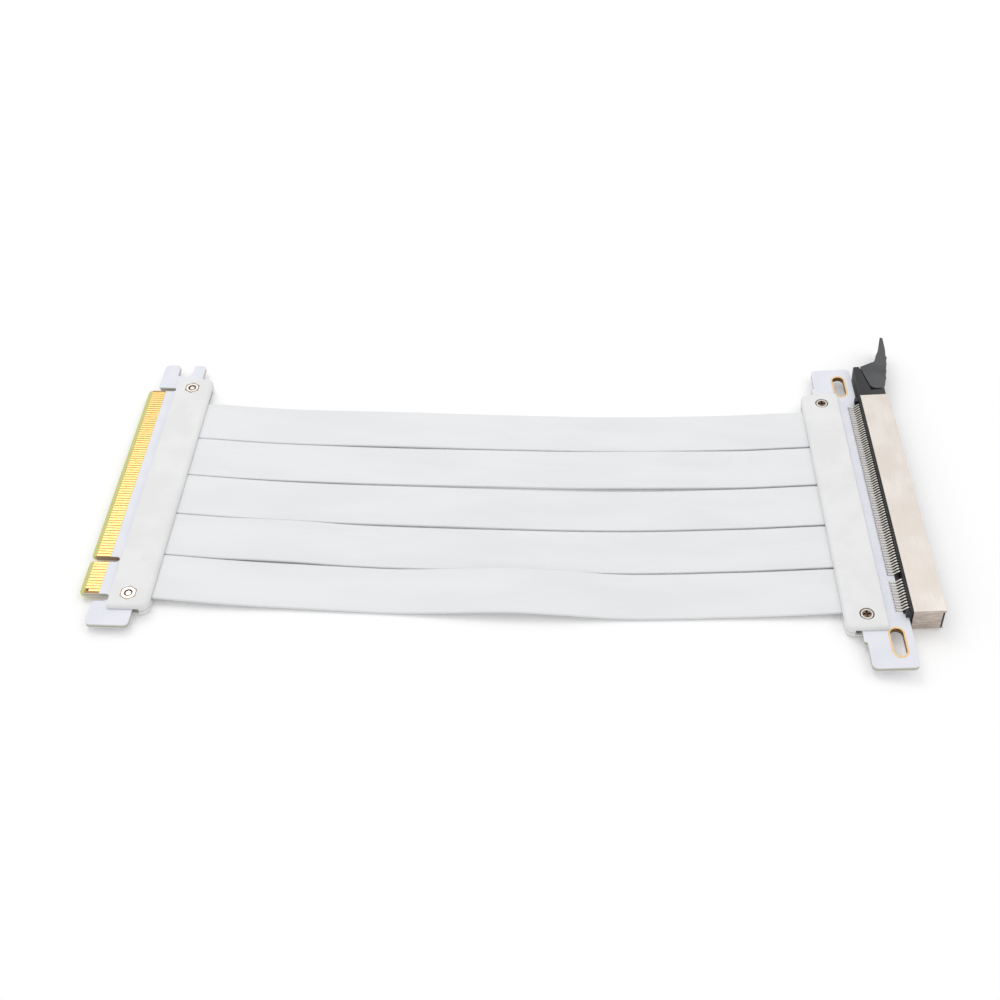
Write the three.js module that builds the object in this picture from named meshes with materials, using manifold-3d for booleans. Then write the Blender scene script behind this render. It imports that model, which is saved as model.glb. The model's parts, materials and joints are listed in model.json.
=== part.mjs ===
// Riser cable: a sixteen-lane card plug and a shielded card slot joined by five flat ribbons.
// Millimetres. +X runs along the cable from the plug to the slot, +Z is up, the table is Z = 0.
import * as THREE from 'three';
import { mergeGeometries, mergeVertices } from 'three/addons/utils/BufferGeometryUtils.js';
import Module from 'manifold-3d';

const wasm = await Module();
wasm.setup();

// Card edge: contacts at one pitch either side of a key
const contactPitch = 1.0;
const shortGroup = 11;
const longGroup = 71;
const keyToContact = 1.5;
const keyWidth = 1.9;
const tongueEndMargin = 1.1;
const tongueDepth = 8.35;
const boardThickness = 1.6;
const leadInDepth = 1.2;
const leadInRise = 0.42;
const fingerStart = 1.4;
const fingerEnd = 5.5;
const fingerWidth = 0.7;
const fingerHeight = 0.05;
const presenceFingerCut = 1.0;
const fingerEmbed = 0.2;

// Plug board outside its tongue
const plugBoardEdge = 16.2;
const sideNotchOvershoot = 0.35;
const keyCorner = 0.8;
const tongueCorner = 0.9;
const tabNotchWidth = 2.65;
const tabStart = 4.25;
const tabReach = 8.2;
const tabCorner = 1.4;
const hookSlotWidth = 1.7;
const hookStart = 2.85;
const hookReach = 11.3;
const hookNotchStart = 7.8;
const hookNotchWidth = 4.6;
const hookNotchDepth = 5.4;
const hookNotchFillet = 1.5;
const hookNotchCorner = 0.4;
const hookNose = 1.7;
const hookCorner = 0.9;

// Moulded covers, the same at both ends
const coverDepth = 11.3;
const coverEndMargin = 5.4;
const coverHalfHeight = 2.2;
const coverRoof = 0.6;
const coverEndWall = 1.3;
const coverBoardWall = 1.0;
const coverBevel = 1.2;
const coverBevelRise = 0.9;
const coverCorner = 2.4;
const partingGap = 0.1;
const boardSetback = 4.3;
const boardPocketSpare = 1.7;
const boardClearance = 0.1;
const screwSetback = 6.2;
const screwEndMargin = 4.9;

// Screws and nuts
const shankRadius = 0.95;
const screwHoleRadius = 1.2;
const bossRadius = 3.0;
const headRadius = 1.9;
const headHeight = 0.85;
const headBevel = 0.25;
const recessLength = 2.2;
const recessWidth = 0.55;
const recessDepth = 0.5;
const nutAcrossFlats = 4.0;
const nutHeight = 0.95;
const fastenerDepth = 1.0;
const fastenerClearance = 0.15;

// Ribbons
const ribbonCount = 5;
const ribbonSideMargin = 2.6;
const ribbonThickness = 0.9;
const ribbonEdge = 0.22;
const plugRibbonGap = 0.2;
const slotRibbonGap = 0.6;
const plugRibbonY = -2.8;
const slotRibbonY = 0.1;
const ribbonInset = 2.9;
const ribbonSlotEndMargin = 4.3;
const ribbonClearance = 0.15;
const freeSpan = 192.3;
const ribbonSteps = 30;

// Stripped conductor ends
const tailSideInset = 0.6;
const tailThickness = 0.3;
const tailReach = 3.0;
const tailClearance = 0.3;
const tailSeat = 0.1;
const tailStepSetback = 0.7;
const tailStepRun = 0.45;

// Slot board
const slotBoardFront = 3.2;
const slotCoverSetback = 3.0;
const earStart = -9.2;
const earReach = 17.9;
const earLength = 8.8;
const earCorner = 1.5;
const earStepCorner = 0.3;
const earHoleX = -1.1;
const earHoleInset = 8.4;
const earHoleWidth = 3.55;
const earHoleLength = 9.3;
const platingWidth = 0.5;
const platingHeight = 0.05;

// Slot connector, measured from the start of the contact feet
const shellRear = 4.05;
const shellDepth = 8.75;
const shellEndMargin = 1.9;
const shellHeight = 7.9;
const shellWall = 0.35;
const shellFold = 0.7;
const shellMouthNotch = 0.9;
const housingGap = 0.15;
const housingRear = 3.45;
const housingSetback = 0.2;
const cardSlotWidth = 1.8;
const cardSlotDepth = 8.2;
const cardSlotSpare = 0.2;
const keyBarWidth = 1.7;
const contactRoomWidth = 3.4;
const contactRoomDepth = 5.4;
const contactRoomLip = 1.5;
const housingEarReach = 1.15;
const housingEarLength = 1.5;
const housingEarHeight = 2.9;

// Contact tails
const leadWidth = 0.45;
const leadThickness = 0.2;
const leadFoot = 1.9;
const leadEntryHeight = 2.3;
const leadSeat = 0.1;
const leadBend = 0.1;
const carrierDepth = 0.8;
const carrierHeight = 0.7;

// Latch tower and latch
const towerHalfHeight = 2.95;
const towerRootReach = 3.1;
const towerReach = 14.6;
const towerCorner = 0.6;
const towerSetback = 0.1;
const towerFront = 12.4;
const towerWallRoot = 8.2;
const towerWallTip = 6.1;
const latchHalfHeight = 2.9;
const latchClearance = 0.35;
const pivotX = 10.6;
const pivotReach = 6.4;
const latchEyeRadius = 2.6;
const webHalfHeight = 1.5;
const webClearance = 0.3;
const webRadius = 2.1;
const latchSlotReach = 3.2;
const pivotRadius = 0.8;
const pivotClearance = 0.1;
const pinHalfLength = 2.3;
const gripRidges = 4;
const gripRidgeRadius = 0.55;
const gripStart = [2.85, 2.5];
const gripStep = [0.62, 3.3];

// Corners of the latch's grip and finger horn, measured from the pivot, each with its rounding
const latchCorners = [
  [3.8, 5.3, 1.5], [4.6, 9.3, 2.0], [5.4, 16.6, 3.0], [5.6, 22.6, 0.5], [4.7, 22.6, 0.4],
  [3.2, 16.4, 1.0], [1.9, 13.6, 0.8], [0.9, 10.6, 0.5],
];

// Worked out from the sizes above
const halfBoard = boardThickness / 2;
const contactSpread = (shortGroup + longGroup - 2) * contactPitch + 2 * keyToContact;
const tongueLength = contactSpread + 2 * tongueEndMargin;
const tongueHalf = tongueLength / 2;
const coverHalfLength = tongueHalf + coverEndMargin;
const screwSpread = coverHalfLength - screwEndMargin;
const ribbonSlotHalf = coverHalfLength - ribbonSlotEndMargin;
const ribbonWidth = (tongueLength - 2 * ribbonSideMargin) / ribbonCount;
const plugRibbonPitch = ribbonWidth + plugRibbonGap;
const slotRibbonPitch = ribbonWidth + slotRibbonGap;
const tailWidth = ribbonWidth - 2 * tailSideInset;
const earHalfSpread = tongueHalf + earReach;
const earStepSpread = earHalfSpread - earLength;
const earHoleSpread = earHalfSpread - earHoleInset;
const shellHalfLength = tongueHalf + shellEndMargin;
const firstContact = -contactSpread / 2;
const keyY = firstContact + (shortGroup - 1) * contactPitch + keyToContact;
const plugExit = plugBoardEdge + boardSetback;
const slotCoverRear = -(coverDepth + slotCoverSetback);
const slotBoardRear = slotCoverRear + boardSetback;
const shellHalfHeight = shellHeight / 2;
const shellFront = shellRear + shellDepth;
const pivotY = shellHalfLength + pivotReach;
const towerRear = shellRear + towerSetback;
const towerEnd = shellHalfLength + towerReach;
const towerRoot = shellHalfLength + towerRootReach;

// The slot end leans back on its lower cover, because its shell is taller than the covers
const coverFootX = slotCoverRear + coverBevel;
const slotTilt = Math.atan2(shellHalfHeight - coverHalfHeight, shellRear - coverFootX);

function contactY(index) {
  const pastKey = index >= shortGroup ? 2 * keyToContact - contactPitch : 0;
  return firstContact + index * contactPitch + pastKey;
}

// A closed outline through corners [x, y, radius], each rounded by its own arc
function outline(corners, target = new THREE.Shape()) {
  corners.forEach(([x, y, radius], i) => {
    const corner = new THREE.Vector2(x, y);
    const [bx, by] = corners[(i + corners.length - 1) % corners.length];
    const [nx, ny] = corners[(i + 1) % corners.length];
    const back = new THREE.Vector2(bx, by).sub(corner).normalize();
    const ahead = new THREE.Vector2(nx, ny).sub(corner).normalize();
    const halfAngle = Math.acos(THREE.MathUtils.clamp(back.dot(ahead), -1, 1)) / 2;
    const start = corner.clone().addScaledVector(back, radius / Math.tan(halfAngle));
    const draw = i === 0 ? 'moveTo' : 'lineTo';
    target[draw](start.x, start.y);
    if (radius > 0) {
      const middle = back.clone().add(ahead).normalize();
      const centre = corner.clone().addScaledVector(middle, radius / Math.sin(halfAngle));
      const end = corner.clone().addScaledVector(ahead, radius / Math.tan(halfAngle));
      const from = start.sub(centre).angle();
      const to = end.sub(centre).angle();
      target.absarc(centre.x, centre.y, radius, from, to, back.cross(ahead) > 0);
    }
  });
  target.closePath();
  return target;
}

function rectangle(x0, x1, y0, y1, radius = 0, target = new THREE.Shape()) {
  return outline([[x0, y0, radius], [x1, y0, radius], [x1, y1, radius], [x0, y1, radius]], target);
}

function slab(shape, z0, z1, curveSegments = 4) {
  const geometry = new THREE.ExtrudeGeometry(shape, { depth: z1 - z0, bevelEnabled: false, curveSegments });
  return geometry.translate(0, 0, z0);
}

// A side profile drawn in X and Z, drawn out along Y
function rail(shape, y0, y1, curveSegments = 3) {
  return slab(shape, -y1, -y0, curveSegments).rotateX(Math.PI / 2);
}

function block(x0, x1, y0, y1, z0, z1) {
  const geometry = new THREE.BoxGeometry(x1 - x0, y1 - y0, z1 - z0);
  return geometry.translate((x0 + x1) / 2, (y0 + y1) / 2, (z0 + z1) / 2);
}

function post(x, y, z0, z1, radius, segments = 20) {
  const geometry = new THREE.CylinderGeometry(radius, radius, z1 - z0, segments);
  return geometry.rotateX(Math.PI / 2).translate(x, y, (z0 + z1) / 2);
}

function toSolid(geometry) {
  const bare = geometry.clone();
  bare.deleteAttribute('normal');
  bare.deleteAttribute('uv');
  const merged = mergeVertices(bare, 1e-4);
  const vertProperties = new Float32Array(merged.attributes.position.array);
  const triVerts = new Uint32Array(merged.index.array);
  return new wasm.Manifold(new wasm.Mesh({ numProp: 3, vertProperties, triVerts }));
}

function toGeometry(solid) {
  const mesh = solid.getMesh();
  const geometry = new THREE.BufferGeometry();
  geometry.setAttribute('position', new THREE.BufferAttribute(new Float32Array(mesh.vertProperties), 3));
  geometry.setIndex(new THREE.BufferAttribute(new Uint32Array(mesh.triVerts), 1));
  geometry.computeVertexNormals();
  return geometry;
}

function carve(base, added, removed) {
  let solid = toSolid(base);
  added.forEach((geometry) => {
    solid = solid.add(toSolid(geometry));
  });
  removed.forEach((geometry) => {
    solid = solid.subtract(toSolid(geometry));
  });
  return toGeometry(solid);
}

function mirrored(geometry) {
  return toGeometry(toSolid(geometry).mirror([0, 0, 1]));
}

const finishes = {
  mask: new THREE.MeshStandardMaterial({ color: 0xe3e6ee, roughness: 0.45, metalness: 0 }),
  cover: new THREE.MeshStandardMaterial({ color: 0xe9eae9, roughness: 0.5, metalness: 0 }),
  ribbon: new THREE.MeshStandardMaterial({ color: 0xebecee, roughness: 0.55, metalness: 0 }),
  nickel: new THREE.MeshStandardMaterial({ color: 0xd8d2c8, roughness: 0.3, metalness: 1 }),
  shell: new THREE.MeshStandardMaterial({ color: 0xe0d8cd, roughness: 0.35, metalness: 1 }),
  copper: new THREE.MeshStandardMaterial({ color: 0xd9a05a, roughness: 0.4, metalness: 1 }),
  contact: new THREE.MeshStandardMaterial({ color: 0xcfcac2, roughness: 0.3, metalness: 1 }),
  black: new THREE.MeshStandardMaterial({ color: 0x26262a, roughness: 0.5, metalness: 0 }),
};

function piece(name, geometry, finish) {
  const mesh = new THREE.Mesh(geometry, finishes[finish]);
  mesh.name = name;
  return mesh;
}

// Plug board
function plugBoard() {
  const notchRadius = tabNotchWidth * 0.49;
  const hookSlotRadius = hookSlotWidth * 0.49;
  const keyRadius = keyWidth * 0.49;
  const tabInner = -tongueHalf - tabNotchWidth;
  const tabOuter = tabInner - tabReach;
  const hookInner = tongueHalf + hookSlotWidth;
  const hookOuter = hookInner + hookReach;
  const hookNotchFloor = hookOuter - hookNotchDepth;
  const hookNotchEnd = hookNotchStart + hookNotchWidth;
  const keyNear = keyY - keyWidth / 2;
  const keyFar = keyY + keyWidth / 2;
  const notchEnd = tongueDepth + sideNotchOvershoot;
  const shape = outline([
    [0, -tongueHalf, tongueCorner],
    [notchEnd, -tongueHalf, notchRadius],
    [notchEnd, tabInner, notchRadius],
    [tabStart, tabInner, tabCorner],
    [tabStart, tabOuter, tabCorner],
    [plugBoardEdge, tabOuter, tabCorner],
    [plugBoardEdge, hookOuter, hookCorner],
    [hookNotchEnd, hookOuter, hookCorner],
    [hookNotchEnd, hookNotchFloor, hookNotchFillet],
    [hookNotchStart, hookNotchFloor, hookNotchCorner],
    [hookNotchStart, hookOuter, hookCorner],
    [hookStart, hookOuter, hookNose],
    [hookStart, hookInner, hookCorner],
    [notchEnd, hookInner, hookSlotRadius],
    [notchEnd, tongueHalf, hookSlotRadius],
    [0, tongueHalf, tongueCorner],
    [0, keyFar, keyCorner],
    [tongueDepth, keyFar, keyRadius],
    [tongueDepth, keyNear, keyRadius],
    [0, keyNear, keyCorner],
  ]);
  const leadIn = new THREE.Shape();
  leadIn.moveTo(-1, halfBoard + 1);
  leadIn.lineTo(-1, halfBoard - leadInRise * (1 + 1 / leadInDepth));
  leadIn.lineTo(leadInDepth, halfBoard);
  leadIn.lineTo(leadInDepth, halfBoard + 1);
  leadIn.closePath();
  const upperLeadIn = rail(leadIn, -tongueHalf - 0.5, tongueHalf + 0.5);
  const lowerLeadIn = upperLeadIn.clone().rotateX(Math.PI);
  const fingers = [];
  for (let i = 0; i < shortGroup + longGroup; i += 1) {
    const start = fingerStart + (i === 0 ? presenceFingerCut : 0);
    fingers.push(rectangle(start, fingerEnd, contactY(i) - fingerWidth / 2, contactY(i) + fingerWidth / 2));
  }
  const upperFingers = slab(fingers, halfBoard - fingerEmbed, halfBoard + fingerHeight);
  const lowerFingers = slab(fingers, -halfBoard - fingerHeight, -halfBoard + fingerEmbed);
  const screwX = plugExit - screwSetback;
  const holes = [-1, 1].map((side) => post(screwX, side * screwSpread, -2, 2, screwHoleRadius));
  const board = carve(slab(shape, -halfBoard, halfBoard, 3), [], [upperLeadIn, lowerLeadIn, ...holes]);
  return carve(board, [upperFingers, lowerFingers], []);
}

// One cover half, its bevelled cable face at X = 0 and its plain board face towards -X, parting plane at Z = 0
function coverHalf(pocket) {
  const plan = rectangle(
    -coverDepth - coverCorner, -coverBevel,
    -coverHalfLength + coverBevel, coverHalfLength - coverBevel,
    coverCorner - coverBevel,
  );
  const outer = new THREE.ExtrudeGeometry(plan, {
    depth: 2 * (coverHalfHeight - coverBevelRise),
    bevelThickness: coverBevelRise,
    bevelSize: coverBevel,
    bevelSegments: 3,
    curveSegments: 3,
  }).translate(0, 0, -(coverHalfHeight - coverBevelRise));
  const far = 2 * coverHalfLength;
  const boardTop = halfBoard + boardClearance;
  const ceiling = coverHalfHeight - coverRoof;
  const cavityFront = -coverDepth + coverBoardWall;
  const cavityRear = -ribbonInset + 0.4;
  const cavityHalf = coverHalfLength - coverEndWall;
  const lowerHalf = block(-far, far, -far, far, -far, partingGap);
  const beyondFace = block(-far, -coverDepth, -far, far, -far, far);
  const cavity = block(cavityFront, cavityRear, -cavityHalf, cavityHalf, -1, ceiling);
  const boardPocket = block(-far, -boardSetback + boardPocketSpare, -far, far, -1, boardTop);
  const ribbonSlotTop = ribbonThickness / 2 + ribbonClearance;
  const ribbonSlot = block(cavityRear - 0.5, 1, -ribbonSlotHalf, ribbonSlotHalf, -1, ribbonSlotTop);
  const bosses = [-1, 1].map((side) => (
    post(-screwSetback, side * screwSpread, boardTop, ceiling + 0.2, bossRadius)
  ));
  const cuts = [-1, 1].flatMap((side) => [
    post(-screwSetback, side * screwSpread, -1, coverHalfHeight + 1, screwHoleRadius),
    pocket(-screwSetback, side * screwSpread),
  ]);
  const hollow = carve(outer, [], [lowerHalf, beyondFace, cavity, boardPocket, ribbonSlot]);
  return carve(hollow, bosses, cuts);
}

function roundPocket(x, y) {
  const floor = coverHalfHeight - fastenerDepth;
  return post(x, y, floor, coverHalfHeight + 1, headRadius + fastenerClearance, 24);
}

function hexPocket(x, y) {
  const floor = coverHalfHeight - fastenerDepth;
  const radius = (nutAcrossFlats / 2 + fastenerClearance) / Math.cos(Math.PI / 6);
  return post(x, y, floor, coverHalfHeight + 1, radius, 6);
}

// A screw pointing down, its head under the top surface of its cover
function screw() {
  const seat = coverHalfHeight - fastenerDepth + 0.05;
  const top = seat + headHeight;
  const tip = -coverHalfHeight + 0.15;
  const profile = [
    [0, tip], [shankRadius - 0.2, tip], [shankRadius, tip + 0.2], [shankRadius, seat], [headRadius, seat],
    [headRadius, top - headBevel], [headRadius - headBevel, top], [0, top],
  ].map(([r, z]) => new THREE.Vector2(r, z));
  const body = new THREE.LatheGeometry(profile, 20).rotateX(Math.PI / 2);
  const length = recessLength / 2;
  const width = recessWidth / 2;
  const floor = top - recessDepth;
  return carve(body, [], [
    block(-length, length, -width, width, floor, top + 1),
    block(-width, width, -length, length, floor, top + 1),
  ]);
}

// A nut in the cover opposite the screw's head
function nut() {
  const top = coverHalfHeight - 0.02;
  const outer = post(0, 0, top - nutHeight, top, nutAcrossFlats / 2 / Math.cos(Math.PI / 6), 6);
  const bore = post(0, 0, -1, top + 1, shankRadius + 0.15, 16);
  return carve(outer, [], [bore]);
}

// Screws, nuts and covers of one end, in the covers' own frame; facing is -1 at the end turned round
function clampSet(end, headsUp, facing) {
  const group = new THREE.Group();
  const pockets = headsUp ? [roundPocket, hexPocket] : [hexPocket, roundPocket];
  const top = piece(`${end}_cover_top`, coverHalf(pockets[0]), 'cover');
  const bottom = piece(`${end}_cover_bottom`, coverHalf(pockets[1]), 'cover');
  bottom.rotation.x = Math.PI;
  group.add(top, bottom);
  [['near', -facing], ['far', facing]].forEach(([place, side]) => {
    const head = piece(`${end}_screw_${place}`, screw(), 'nickel');
    const lock = piece(`${end}_nut_${place}`, nut(), 'nickel');
    const turned = headsUp ? lock : head;
    turned.rotation.x = Math.PI;
    [head, lock].forEach((mesh) => {
      mesh.position.set(-screwSetback, side * screwSpread, 0);
      group.add(mesh);
    });
  });
  return group;
}

// The stripped conductors of one ribbon, stepping up from its core on to the board and clear of the bosses
function ribbonTail(centreY) {
  const core = tailThickness / 2;
  const low = halfBoard + tailSeat;
  const high = low + tailThickness;
  const end = -boardSetback - tailReach;
  const rear = -ribbonInset - tailSeat;
  const step = -boardSetback + tailStepSetback;
  const lowerStep = step - tailStepRun / 2;
  const shape = new THREE.Shape();
  shape.moveTo(rear, -core);
  shape.lineTo(rear, core);
  shape.lineTo(step, core);
  shape.lineTo(step - tailStepRun, high);
  shape.lineTo(end, high);
  shape.lineTo(end, low);
  shape.lineTo(lowerStep - tailStepRun, low);
  shape.lineTo(lowerStep, -core);
  shape.closePath();
  const bosses = [-1, 1].map((side) => (
    post(-screwSetback, side * screwSpread, -2, 2, bossRadius + tailClearance)
  ));
  return carve(rail(shape, centreY - tailWidth / 2, centreY + tailWidth / 2), [], bosses);
}

function ribbonOffset(index, pitch) {
  return ((ribbonCount - 1) / 2 - index) * pitch;
}

function tailSet(end, centreY, pitch, side) {
  const group = new THREE.Group();
  for (let i = 0; i < ribbonCount; i += 1) {
    const tailY = side * (centreY + ribbonOffset(i, pitch));
    group.add(piece(`${end}_tails_${i + 1}`, ribbonTail(tailY), 'copper'));
  }
  return group;
}

// Ribbon route: share of the free span, sideways place of the group's middle line, height
const ribbonRoute = [
  [0.03, -3.1, 2.17], [0.08, -3.5, 1.9], [0.14, -3.65, 1.45], [0.2, -3.6, 1.05], [0.27, -3.7, 0.82],
  [0.35, -3.8, 0.72], [0.43, -3.75, 0.7], [0.52, -3.65, 0.7], [0.6, -3.6, 0.7], [0.68, -3.3, 0.7],
  [0.76, -2.6, 0.74], [0.83, -1.8, 0.9], [0.89, -1.2, 1.2], [0.94, -0.6, 1.58],
];

// How far each ribbon drifts sideways in mid-span, which opens the gap between the second and third
const ribbonDrift = [0.5, 0.5, -0.3, -0.4, -0.4];

// Each ribbon's own long low hump: where it starts and ends along the span, and how high it is
const ribbonHumps = [[0.15, 0.5, 0.5], [0.55, 0.9, 0.6], [0.2, 0.55, 0.4], [0.04, 0.3, 0.7], [0.34, 0.72, 2.1]];

function humpHeight(share, [start, end, height]) {
  const inside = THREE.MathUtils.clamp((share - start) / (end - start), 0, 1);
  return height * Math.sin(Math.PI * inside) ** 2;
}

function slotPoint(x, z) {
  const lever = x - shellRear;
  const lift = z + shellHalfHeight;
  const run = lever * Math.cos(slotTilt) - lift * Math.sin(slotTilt);
  return [slotFootX + run, lever * Math.sin(slotTilt) + lift * Math.cos(slotTilt)];
}

const coverRun = (shellRear - slotCoverRear) * Math.cos(slotTilt) + shellHalfHeight * Math.sin(slotTilt);
const slotFootX = plugExit + freeSpan + coverRun;

function ribbonPath(index) {
  const [exitX, exitZ] = slotPoint(slotCoverRear, 0);
  const [endX, endZ] = slotPoint(slotCoverRear + ribbonInset, 0);
  const start = new THREE.Vector3(plugExit - ribbonInset, plugRibbonY, coverHalfHeight);
  const points = [start, new THREE.Vector3(plugExit, plugRibbonY, coverHalfHeight)];
  ribbonRoute.forEach(([share, y, z]) => {
    const lift = humpHeight(share, ribbonHumps[index]);
    points.push(new THREE.Vector3(plugExit + share * freeSpan, y, z + lift));
  });
  points.push(new THREE.Vector3(exitX - 2, slotRibbonY, exitZ - 2 * Math.tan(slotTilt)));
  points.push(new THREE.Vector3(exitX, slotRibbonY, exitZ));
  points.push(new THREE.Vector3(endX, slotRibbonY, endZ));
  points.forEach((point) => {
    const share = THREE.MathUtils.clamp((point.x - plugExit) / freeSpan, 0, 1);
    point.y += ribbonOffset(index, THREE.MathUtils.lerp(plugRibbonPitch, slotRibbonPitch, share));
    point.y += ribbonDrift[index] * Math.sin(Math.PI * share) ** 2;
  });
  return new THREE.CatmullRomCurve3(points, false, 'centripetal');
}

// A flat ribbon: its section, with softened edges, stands square to the route at every step
function ribbon(number) {
  const middle = ribbonPath(number).getSpacedPoints(ribbonSteps);
  const wide = ribbonWidth / 2;
  const thick = ribbonThickness / 2;
  const flat = wide - ribbonEdge;
  const side = thick - ribbonEdge;
  const section = [
    [flat, -thick], [wide, -side], [wide, side], [flat, thick],
    [-flat, thick], [-wide, side], [-wide, -side], [-flat, -thick],
  ];
  const corners = section.length;
  const points = [];
  const faces = [];
  middle.forEach((point, i) => {
    const before = middle[Math.max(i - 1, 0)];
    const after = middle[Math.min(i + 1, ribbonSteps)];
    const slope = Math.atan2(after.z - before.z, after.x - before.x);
    section.forEach(([across, up], j) => {
      points.push(point.x - up * Math.sin(slope), point.y + across, point.z + up * Math.cos(slope));
      if (i < ribbonSteps) {
        const a = i * corners + j;
        const b = i * corners + ((j + 1) % corners);
        faces.push(a, b, b + corners, a, b + corners, a + corners);
      }
    });
  });
  const last = ribbonSteps * corners;
  for (let j = 1; j < corners - 1; j += 1) {
    faces.push(0, j + 1, j, last, last + j, last + j + 1);
  }
  const geometry = new THREE.BufferGeometry();
  geometry.setAttribute('position', new THREE.Float32BufferAttribute(points, 3));
  geometry.setIndex(faces);
  return toGeometry(toSolid(geometry));
}

// Slot board with its two ears
function slotBoard() {
  const shape = outline([
    [slotBoardRear, -earStepSpread, earStepCorner],
    [earStart, -earStepSpread, earStepCorner],
    [earStart, -earHalfSpread, earCorner],
    [slotBoardFront, -earHalfSpread, earCorner],
    [slotBoardFront, earHalfSpread, earCorner],
    [earStart, earHalfSpread, earCorner],
    [earStart, earStepSpread, earStepCorner],
    [slotBoardRear, earStepSpread, earStepCorner],
  ]);
  const rims = [];
  const cuts = [];
  [-1, 1].forEach((side) => {
    const y = side * earHoleSpread;
    const hole = [earHoleWidth / 2, earHoleLength / 2];
    const rim = [hole[0] + platingWidth, hole[1] + platingWidth];
    const plated = rectangle(earHoleX - rim[0], earHoleX + rim[0], y - rim[1], y + rim[1], rim[0] * 0.98);
    const open = rectangle(earHoleX - hole[0], earHoleX + hole[0], y - hole[1], y + hole[1], hole[0] * 0.98);
    rims.push(slab(plated, -halfBoard - platingHeight, halfBoard + platingHeight));
    cuts.push(slab(open, -2, 2));
    cuts.push(post(slotCoverRear + screwSetback, side * screwSpread, -2, 2, screwHoleRadius));
  });
  return carve(slab(shape, -halfBoard, halfBoard, 3), rims, cuts);
}

// Black insulator: body in the shell, ears that grip the board, latch tower at the far end
function slotHousing() {
  const halfLength = shellHalfLength - shellWall - housingGap;
  const halfHeight = shellHalfHeight - shellWall - housingGap;
  const front = shellFront - housingSetback;
  const slotEnd = contactSpread / 2 + tongueEndMargin + cardSlotSpare;
  const slotFloor = front - cardSlotDepth;
  const body = block(housingRear, front, -halfLength, halfLength, -halfHeight, halfHeight);
  const root = block(towerRear, towerFront, halfLength - 1, towerRoot, -towerHalfHeight, towerHalfHeight);
  const wall = slab(outline([
    [towerRear, towerRoot - 1, 0], [towerWallRoot, towerRoot - 1, 0], [towerWallRoot, towerRoot, 0],
    [towerWallTip, towerEnd, towerCorner / 2], [towerRear, towerEnd, towerCorner],
  ]), -towerHalfHeight, towerHalfHeight);
  const web = slab(outline([
    [towerWallTip, towerRoot - 1, 0], [pivotX + webRadius, towerRoot - 1, 0],
    [pivotX + webRadius, pivotY + webRadius, webRadius * 0.98], [towerWallTip, pivotY + webRadius, 0],
  ]), -webHalfHeight, webHalfHeight);
  const added = [root, wall, web];
  const removed = [pivotBore()];
  [-1, 1].forEach((side) => {
    const inner = side * (halfLength - housingEarLength);
    const outer = side * halfLength;
    const near = Math.min(inner, outer);
    const far = Math.max(inner, outer);
    const ear = housingRear - housingEarReach;
    const low = halfBoard + 2 * boardClearance;
    added.push(block(ear, housingRear + 0.5, near, far, low, housingEarHeight));
    added.push(block(ear, housingRear + 0.5, near, far, -housingEarHeight, -low));
    const windowNear = leadEntryHeight - carrierHeight / 2 - housingGap;
    const windowFar = leadEntryHeight + carrierHeight / 2 + housingGap;
    const z0 = side > 0 ? windowNear : -windowFar;
    const z1 = side > 0 ? windowFar : -windowNear;
    const windowEnd = housingRear + carrierDepth + 2 * housingGap;
    const windowHalf = contactSpread / 2 + leadWidth + housingGap;
    removed.push(block(housingRear - 1, windowEnd, -windowHalf, windowHalf, z0, z1));
  });
  const rooms = [[-slotEnd, keyY - keyBarWidth / 2], [keyY + keyBarWidth / 2, slotEnd]];
  rooms.forEach(([y0, y1]) => {
    const roomFront = front - contactRoomLip;
    const half = contactRoomWidth / 2;
    removed.push(block(slotFloor, front + 1, y0, y1, -cardSlotWidth / 2, cardSlotWidth / 2));
    removed.push(block(roomFront - contactRoomDepth, roomFront, y0 + 0.3, y1 - 0.3, -half, half));
  });
  return carve(body, added, removed);
}

// One row of contact tails: flat feet on the board, then a slope up into the housing
function contactRow() {
  const foot = halfBoard + leadSeat;
  const entry = leadEntryHeight;
  const inside = housingRear + housingGap + carrierDepth / 2;
  const t = leadThickness;
  const shape = new THREE.Shape();
  shape.moveTo(0, foot);
  shape.lineTo(leadFoot, foot);
  shape.lineTo(housingRear, entry - t / 2);
  shape.lineTo(inside, entry - t / 2);
  shape.lineTo(inside, entry + t / 2);
  shape.lineTo(housingRear - leadBend, entry + t / 2);
  shape.lineTo(leadFoot - leadBend, foot + t);
  shape.lineTo(0, foot + t);
  shape.closePath();
  const leads = [];
  for (let i = 0; i < shortGroup + longGroup; i += 1) {
    leads.push(rail(shape, contactY(i) - leadWidth / 2, contactY(i) + leadWidth / 2));
  }
  const half = contactSpread / 2 + leadWidth;
  const carrierStart = housingRear + housingGap;
  const carrierEnd = carrierStart + carrierDepth;
  const carrierRise = carrierHeight / 2;
  const carrier = block(carrierStart, carrierEnd, -half, half, entry - carrierRise, entry + carrierRise);
  return carve(carrier, [mergeGeometries(leads)], []);
}

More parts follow.
